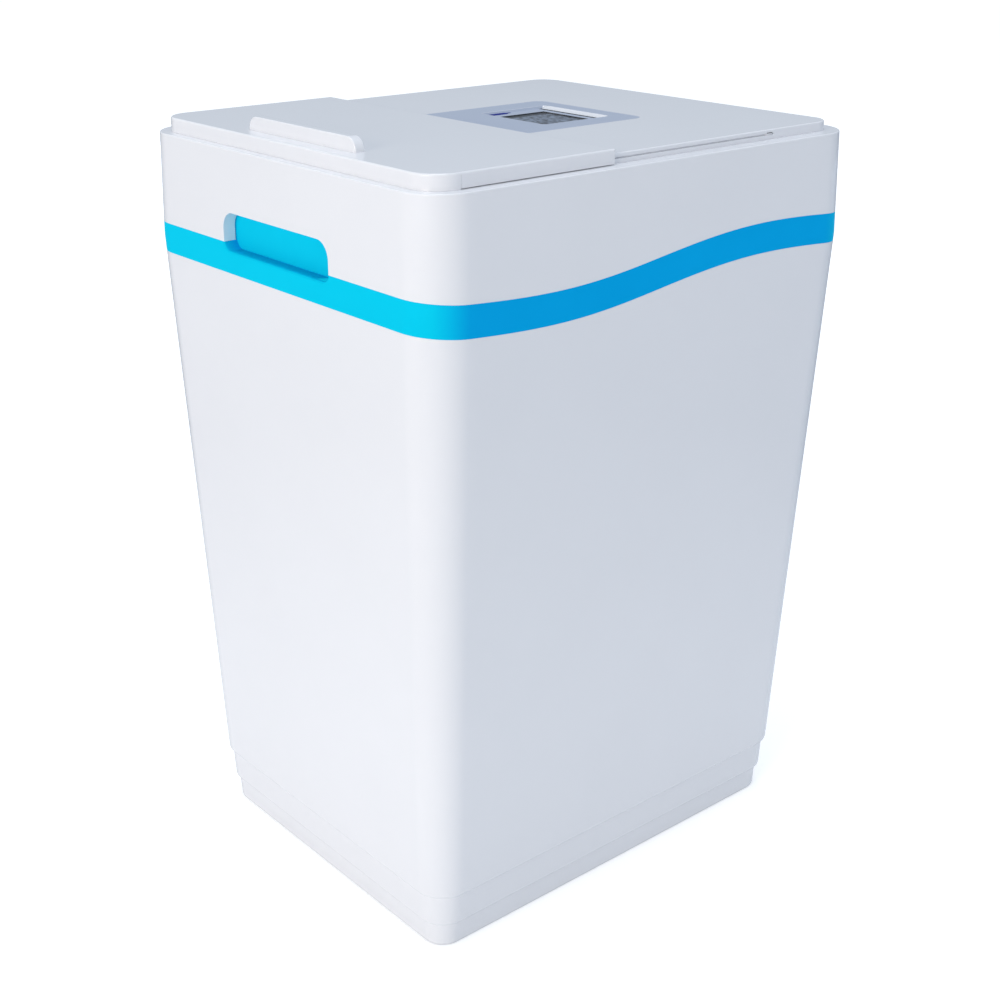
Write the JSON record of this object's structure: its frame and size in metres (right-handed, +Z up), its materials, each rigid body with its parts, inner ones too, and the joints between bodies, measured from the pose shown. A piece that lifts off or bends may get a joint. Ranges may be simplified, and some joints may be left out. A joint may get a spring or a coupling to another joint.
{
  "type": "water softener",
  "caption": "Tapered white cabinet water softener with a blue trim band, a sliding salt hatch, a flush display deck and a rotary valve on a resin vessel inside.",
  "frame": {"origin": "on the floor, at the middle of the cabinet's footprint", "axes": "+Z up, the front with the finger grip and the hatch faces -Y, the water ports face +Y"},
  "size_m": [0.36, 0.449, 0.6118],
  "materials": {
    "white_shell": "moulded, light gloss",
    "blue_trim": "moulded, light gloss",
    "label_film": "satin film",
    "clear_lens": "clear",
    "screen": "matte",
    "blue_light": "translucent",
    "circuit_board": "solder mask",
    "grey_moulding": "moulded",
    "vessel_wrap": "wound fibre under resin",
    "resin": "fine beads",
    "natural_plastic": "moulded",
    "seal_rubber": "matte",
    "black_moulding": "glass-filled, fine grain",
    "motor_steel": "zinc plated",
    "pinion_brass": "machined",
    "turbine_blue": "moulded",
    "clip_red": "moulded",
    "float_orange": "moulded"
  },
  "bodies": {
    "cabinet": {"salt_tank": "white_shell", "trim_band": "blue_trim", "top_casing": "white_shell", "service_deck": "white_shell", "track_stops": "white_shell", "label_plate": "label_film", "display_bezel": "white_shell", "display_lens": "clear_lens", "lcd_panel": "screen", "status_light": "blue_light", "control_board": "circuit_board", "salt_baffle": "white_shell", "salt_grid": "grey_moulding", "tank_boot": "black_moulding", "resin_tank": "vessel_wrap", "resin_bed": "resin", "riser_tube": "natural_plastic", "bottom_strainer": "natural_plastic", "top_strainer": "natural_plastic", "neck_seal": "seal_rubber", "valve_body": "black_moulding", "valve_cap": "black_moulding", "drive_motor": "motor_steel", "injector_plug": "black_moulding", "inlet_adapter": "black_moulding", "outlet_adapter": "black_moulding", "adapter_clips": "clip_red", "drain_elbow": "black_moulding", "brine_well": "grey_moulding", "brine_well_cap": "grey_moulding", "float_stops": "black_moulding", "pickup_tube": "natural_plastic", "air_check": "black_moulding", "brine_elbow": "black_moulding", "brine_line": "natural_plastic", "overflow_elbow": "black_moulding", "overflow_nut": "black_moulding", "power_socket": "black_moulding", "case_screws": "motor_steel", "deck_screws": "motor_steel"},
    "hatch": {"salt_lid": "white_shell"},
    "float": {"float": "float_orange"},
    "rotor": {"drive_gear": "natural_plastic", "rotor_disc": "natural_plastic"},
    "pinion": {"motor_pinion": "pinion_brass"},
    "turbine": {"flow_turbine": "turbine_blue"}
  },
  "joints": [
    {"name": "hatch_slide", "type": "slide", "parent": "cabinet", "child": "hatch", "axis": [0, 1, 0], "range_m": [0, 0.1375]},
    {"name": "float_rise", "type": "slide", "parent": "cabinet", "child": "float", "axis": [0, 0, 1], "range_m": [0, 0.08]},
    {"name": "valve_turn", "type": "hinge", "parent": "cabinet", "child": "rotor", "pos_m": [0, 0.078, 0.571], "axis": [0, 0, 1], "continuous": true},
    {"name": "motor_turn", "type": "hinge", "parent": "cabinet", "child": "pinion", "pos_m": [0.05196, 0.048, 0.571], "axis": [0, 0, 1], "continuous": true},
    {"name": "meter_turn", "type": "hinge", "parent": "cabinet", "child": "turbine", "pos_m": [0.038, 0.15, 0.55], "axis": [0, 1, 0], "continuous": true}
  ],
  "couplings": [
    {"joint": "motor_turn", "follows": "valve_turn", "ratio": -5}
  ]
}
